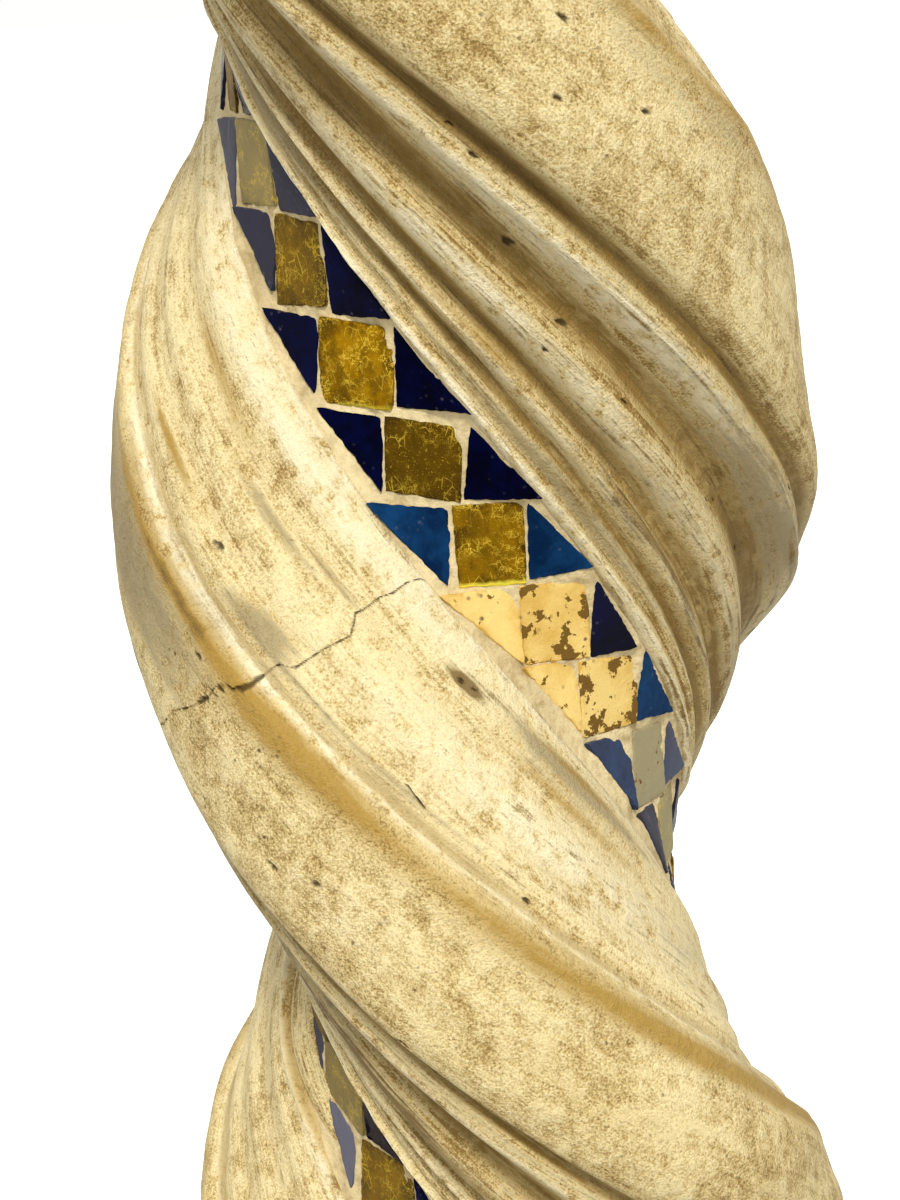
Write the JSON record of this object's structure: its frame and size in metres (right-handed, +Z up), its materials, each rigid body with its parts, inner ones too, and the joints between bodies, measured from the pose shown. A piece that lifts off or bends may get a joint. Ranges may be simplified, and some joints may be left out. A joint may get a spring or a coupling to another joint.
{
  "type": "barley twist column",
  "caption": "Marble column shaft carved as two strands twisted round each other, with a glass mosaic band in each groove and plain round collars.",
  "frame": {"origin": "middle of the foot collar's flat underside", "axes": "+Z up along the column's axis; -Y faces the side that the picture shows, where band A crosses the front at mid height"},
  "size_m": [0.16, 0.16, 1],
  "materials": {
    "marble": "honed, aged and stained",
    "mortar": "matt lime mortar",
    "gold_glass": "gold leaf under clear glass",
    "deep_blue_glass": "opaque glass, glossy",
    "bright_blue_glass": "opaque glass, glossy",
    "worn_tile": "glass that has lost its gilding, brown blotches"
  },
  "bodies": {
    "root": {"mortar_bed_a": "mortar", "mortar_bed_b": "mortar", "shaft": "marble", "tile_a_row15_left": "deep_blue_glass", "tile_a_row15_right": "deep_blue_glass", "tile_a_row15_square": "gold_glass", "tile_a_row16_left": "deep_blue_glass", "tile_a_row16_right": "deep_blue_glass", "tile_a_row16_square": "gold_glass", "tile_a_row17_left": "deep_blue_glass", "tile_a_row17_right": "deep_blue_glass", "tile_a_row17_square": "gold_glass", "tile_a_row18_left": "deep_blue_glass", "tile_a_row18_right": "deep_blue_glass", "tile_a_row18_square": "gold_glass", "tile_a_row19_left": "worn_tile", "tile_a_row19_right": "deep_blue_glass", "tile_a_row19_square": "worn_tile", "tile_a_row20_left": "worn_tile", "tile_a_row20_right": "deep_blue_glass", "tile_a_row20_square": "worn_tile", "tile_a_row21_left": "bright_blue_glass", "tile_a_row21_right": "bright_blue_glass", "tile_a_row21_square": "gold_glass", "tile_a_row22_left": "deep_blue_glass", "tile_a_row22_right": "deep_blue_glass", "tile_a_row22_square": "gold_glass", "tile_a_row23_left": "deep_blue_glass", "tile_a_row23_right": "deep_blue_glass", "tile_a_row23_square": "gold_glass", "tile_a_row24_left": "deep_blue_glass", "tile_a_row24_right": "deep_blue_glass", "tile_a_row24_square": "gold_glass", "tile_a_row25_left": "deep_blue_glass", "tile_a_row25_right": "deep_blue_glass", "tile_a_row25_square": "gold_glass", "tile_a_row26_left": "deep_blue_glass", "tile_a_row26_right": "deep_blue_glass", "tile_a_row26_square": "gold_glass", "tile_a_row27_left": "deep_blue_glass", "tile_a_row27_right": "deep_blue_glass", "tile_a_row27_square": "gold_glass", "tile_b_row11_left": "deep_blue_glass", "tile_b_row11_right": "deep_blue_glass", "tile_b_row11_square": "gold_glass", "tile_b_row12_left": "deep_blue_glass", "tile_b_row12_right": "deep_blue_glass", "tile_b_row12_square": "gold_glass", "tile_b_row13_left": "bright_blue_glass", "tile_b_row13_right": "bright_blue_glass", "tile_b_row13_square": "gold_glass", "tile_b_row14_left": "deep_blue_glass", "tile_b_row14_right": "deep_blue_glass", "tile_b_row14_square": "gold_glass", "tile_b_row15_left": "deep_blue_glass", "tile_b_row15_right": "deep_blue_glass", "tile_b_row15_square": "gold_glass", "tile_b_row16_left": "deep_blue_glass", "tile_b_row16_right": "deep_blue_glass", "tile_b_row16_square": "gold_glass"}
  },
  "joints": []
}
